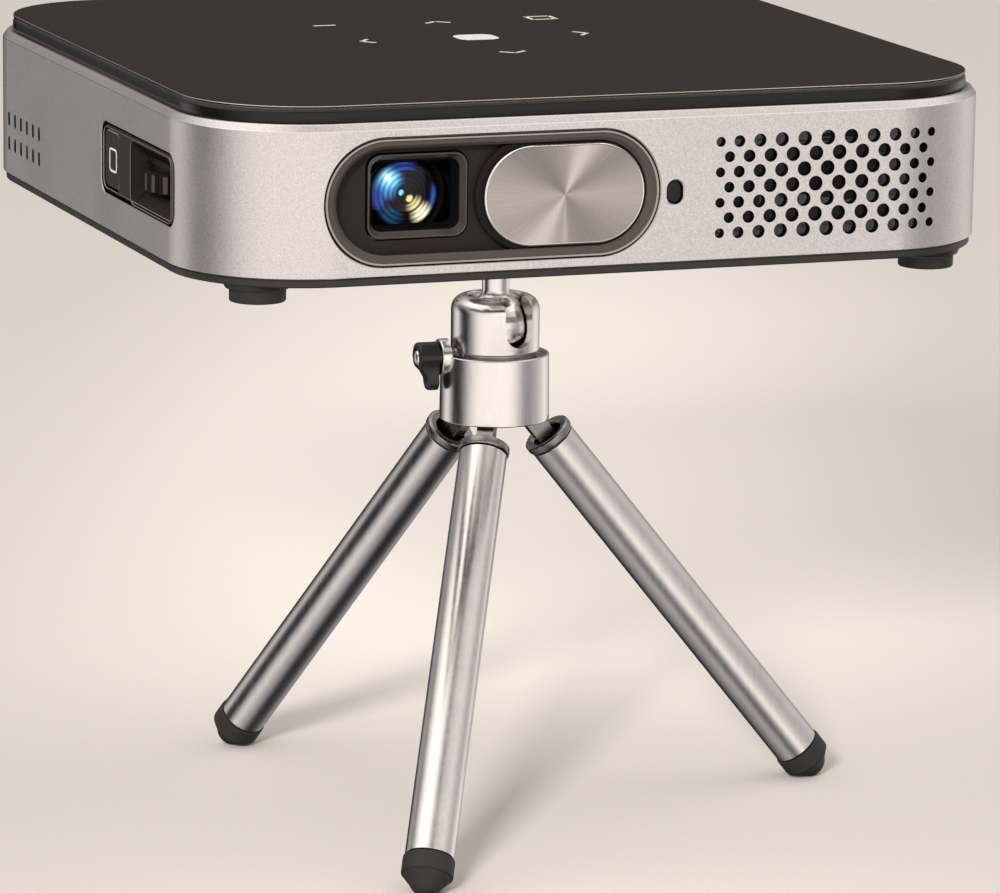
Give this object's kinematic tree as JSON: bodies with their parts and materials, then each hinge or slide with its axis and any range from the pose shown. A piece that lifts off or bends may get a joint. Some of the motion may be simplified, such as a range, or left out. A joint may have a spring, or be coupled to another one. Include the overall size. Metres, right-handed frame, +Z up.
{
  "type": "home projector",
  "caption": "Pocket home projector: square rounded metal case with sliding lens cover, on a folding mini tripod with a slotted ball head.",
  "frame": {"origin": "on the floor under the middle of the projector's square case (bottom centre of the bounding box)", "axes": "+Z up, -Y the front with the lens, +X to the right as seen by someone who faces the lens"},
  "size_m": [0.146, 0.146, 0.1382],
  "materials": {
    "shell_metal": "bead-blasted, fine sparkle, polished top chamfer",
    "lid_gloss": "polished black",
    "lid_satin": "satin brown-black",
    "base_plastic": "satin dark brown-grey",
    "foot_rubber": "matte black rubber",
    "bezel_plastic": "satin dark grey",
    "panel_gloss": "polished near-black",
    "control_plastic": "satin dark brown-grey",
    "cover_metal": "radially brushed",
    "barrel_steel": "blackened",
    "lens_glass": "blue-coated glass",
    "alloy": "bare cast alloy",
    "brass": "turned brass",
    "board_green": "solder-mask green",
    "cell_wrap": "shrink wrap",
    "inner_plastic": "black moulding",
    "port_metal": "plated sheet",
    "satin_chrome": "satin chrome plate",
    "leg_chrome": "satin chrome tube",
    "hinge_steel": "dark steel",
    "knob_plastic": "black satin moulding",
    "pad_rubber": "matte black rubber",
    "tip_rubber": "soft black rubber"
  },
  "bodies": {
    "tripod_base": {"tripod_collar": "satin_chrome", "hinge_hub": "hinge_steel", "hinge_pin_a": "satin_chrome", "hinge_pin_b": "satin_chrome", "hinge_pin_c": "satin_chrome"},
    "leg_a": {"leg_a_hinge": "hinge_steel", "leg_a_ring": "hinge_steel", "leg_a_tube": "leg_chrome", "leg_a_foot": "tip_rubber"},
    "leg_b": {"leg_b_hinge": "hinge_steel", "leg_b_ring": "hinge_steel", "leg_b_tube": "leg_chrome", "leg_b_foot": "tip_rubber"},
    "leg_c": {"leg_c_hinge": "hinge_steel", "leg_c_ring": "hinge_steel", "leg_c_tube": "leg_chrome", "leg_c_foot": "tip_rubber"},
    "clamp_knob": {"clamp_knob": "knob_plastic", "clamp_screw": "satin_chrome"},
    "ball_cup": {"ball_cup": "satin_chrome"},
    "ball_stem": {"ball_stem": "satin_chrome", "platform_pad": "pad_rubber", "camera_screw": "satin_chrome"},
    "projector": {"side_shell": "shell_metal", "top_cover": "lid_gloss", "touch_panel": "lid_satin", "bottom_cover": "base_plastic", "rubber_foot_front_left": "foot_rubber", "rubber_foot_front_right": "foot_rubber", "rubber_foot_rear_left": "foot_rubber", "rubber_foot_rear_right": "foot_rubber", "lens_bezel": "bezel_plastic", "lens_panel": "panel_gloss", "lens_window_frame": "bezel_plastic", "ir_window": "panel_gloss", "side_panel": "control_plastic", "barrel_housing": "alloy", "optical_engine": "alloy", "led_module": "brass", "imaging_board": "board_green", "heat_sink": "alloy", "blower_housing": "inner_plastic", "speaker": "inner_plastic", "main_board": "board_green", "battery": "cell_wrap", "rear_panel": "control_plastic", "hdmi_port": "port_metal", "usb_port": "port_metal", "dc_jack": "inner_plastic", "audio_jack": "inner_plastic", "thread_insert": "brass"},
    "lens_cover": {"lens_cover": "cover_metal", "cover_carrier": "bezel_plastic"},
    "power_button": {"power_button": "control_plastic"},
    "focus_wheel": {"focus_wheel": "control_plastic"},
    "lens_barrel": {"lens_barrel": "barrel_steel", "front_lens": "lens_glass", "rear_lens": "lens_glass", "focus_rack": "alloy"},
    "fan_rotor": {"fan_rotor": "inner_plastic"}
  },
  "joints": [
    {"name": "leg_a_fold", "type": "hinge", "parent": "tripod_base", "child": "leg_a", "pos_m": [-0.003, -0.0167, 0.07298], "axis": [0.866, -0.5, 0], "range_deg": [0, 39]},
    {"name": "leg_b_fold", "type": "hinge", "parent": "tripod_base", "child": "leg_b", "pos_m": [-0.003, -0.0063, 0.07298], "axis": [-0.866, -0.5, 0], "range_deg": [0, 39]},
    {"name": "leg_c_fold", "type": "hinge", "parent": "tripod_base", "child": "leg_c", "pos_m": [0.006, -0.0115, 0.07298], "axis": [0, 1, 0], "range_deg": [0, 39]},
    {"name": "clamp_turn", "type": "hinge", "parent": "tripod_base", "child": "clamp_knob", "pos_m": [0, -0.0115, 0.08284], "axis": [-0.9986, 0.0523, 0], "range_deg": [0, 180]},
    {"name": "head_pan", "type": "hinge", "parent": "tripod_base", "child": "ball_cup", "pos_m": [0, -0.0115, 0.08144], "axis": [0, 0, 1], "continuous": true},
    {"name": "ball_tilt", "type": "hinge", "parent": "ball_cup", "child": "ball_stem", "pos_m": [0, -0.0115, 0.08804], "axis": [0.9659, 0.2588, 0], "range_deg": [-20, 60]},
    {"name": "projector_swivel", "type": "hinge", "parent": "ball_stem", "child": "projector", "pos_m": [0, -0.0115, 0.10784], "axis": [0, 0, 1], "continuous": true},
    {"name": "cover_slide", "type": "slide", "parent": "projector", "child": "lens_cover", "axis": [-1, 0, 0], "range_m": [0, 0.0254]},
    {"name": "power_push", "type": "slide", "parent": "projector", "child": "power_button", "axis": [1, 0, 0], "range_m": [0, 0.0008], "stiffness_N_per_m": 500},
    {"name": "focus_turn", "type": "hinge", "parent": "projector", "child": "focus_wheel", "pos_m": [-0.0646, -0.036, 0.12184], "axis": [0, 0, 1], "range_deg": [-35, 35]},
    {"name": "focus_travel", "type": "slide", "parent": "projector", "child": "lens_barrel", "axis": [0, 1, 0], "range_m": [-0.00118, 0.00118]},
    {"name": "fan_spin", "type": "hinge", "parent": "projector", "child": "fan_rotor", "pos_m": [0.042, -0.043, 0.12044], "axis": [0, 0, 1], "continuous": true}
  ],
  "couplings": [
    {"joint": "focus_turn", "follows": "focus_travel", "rad_per_m": 500}
  ]
}
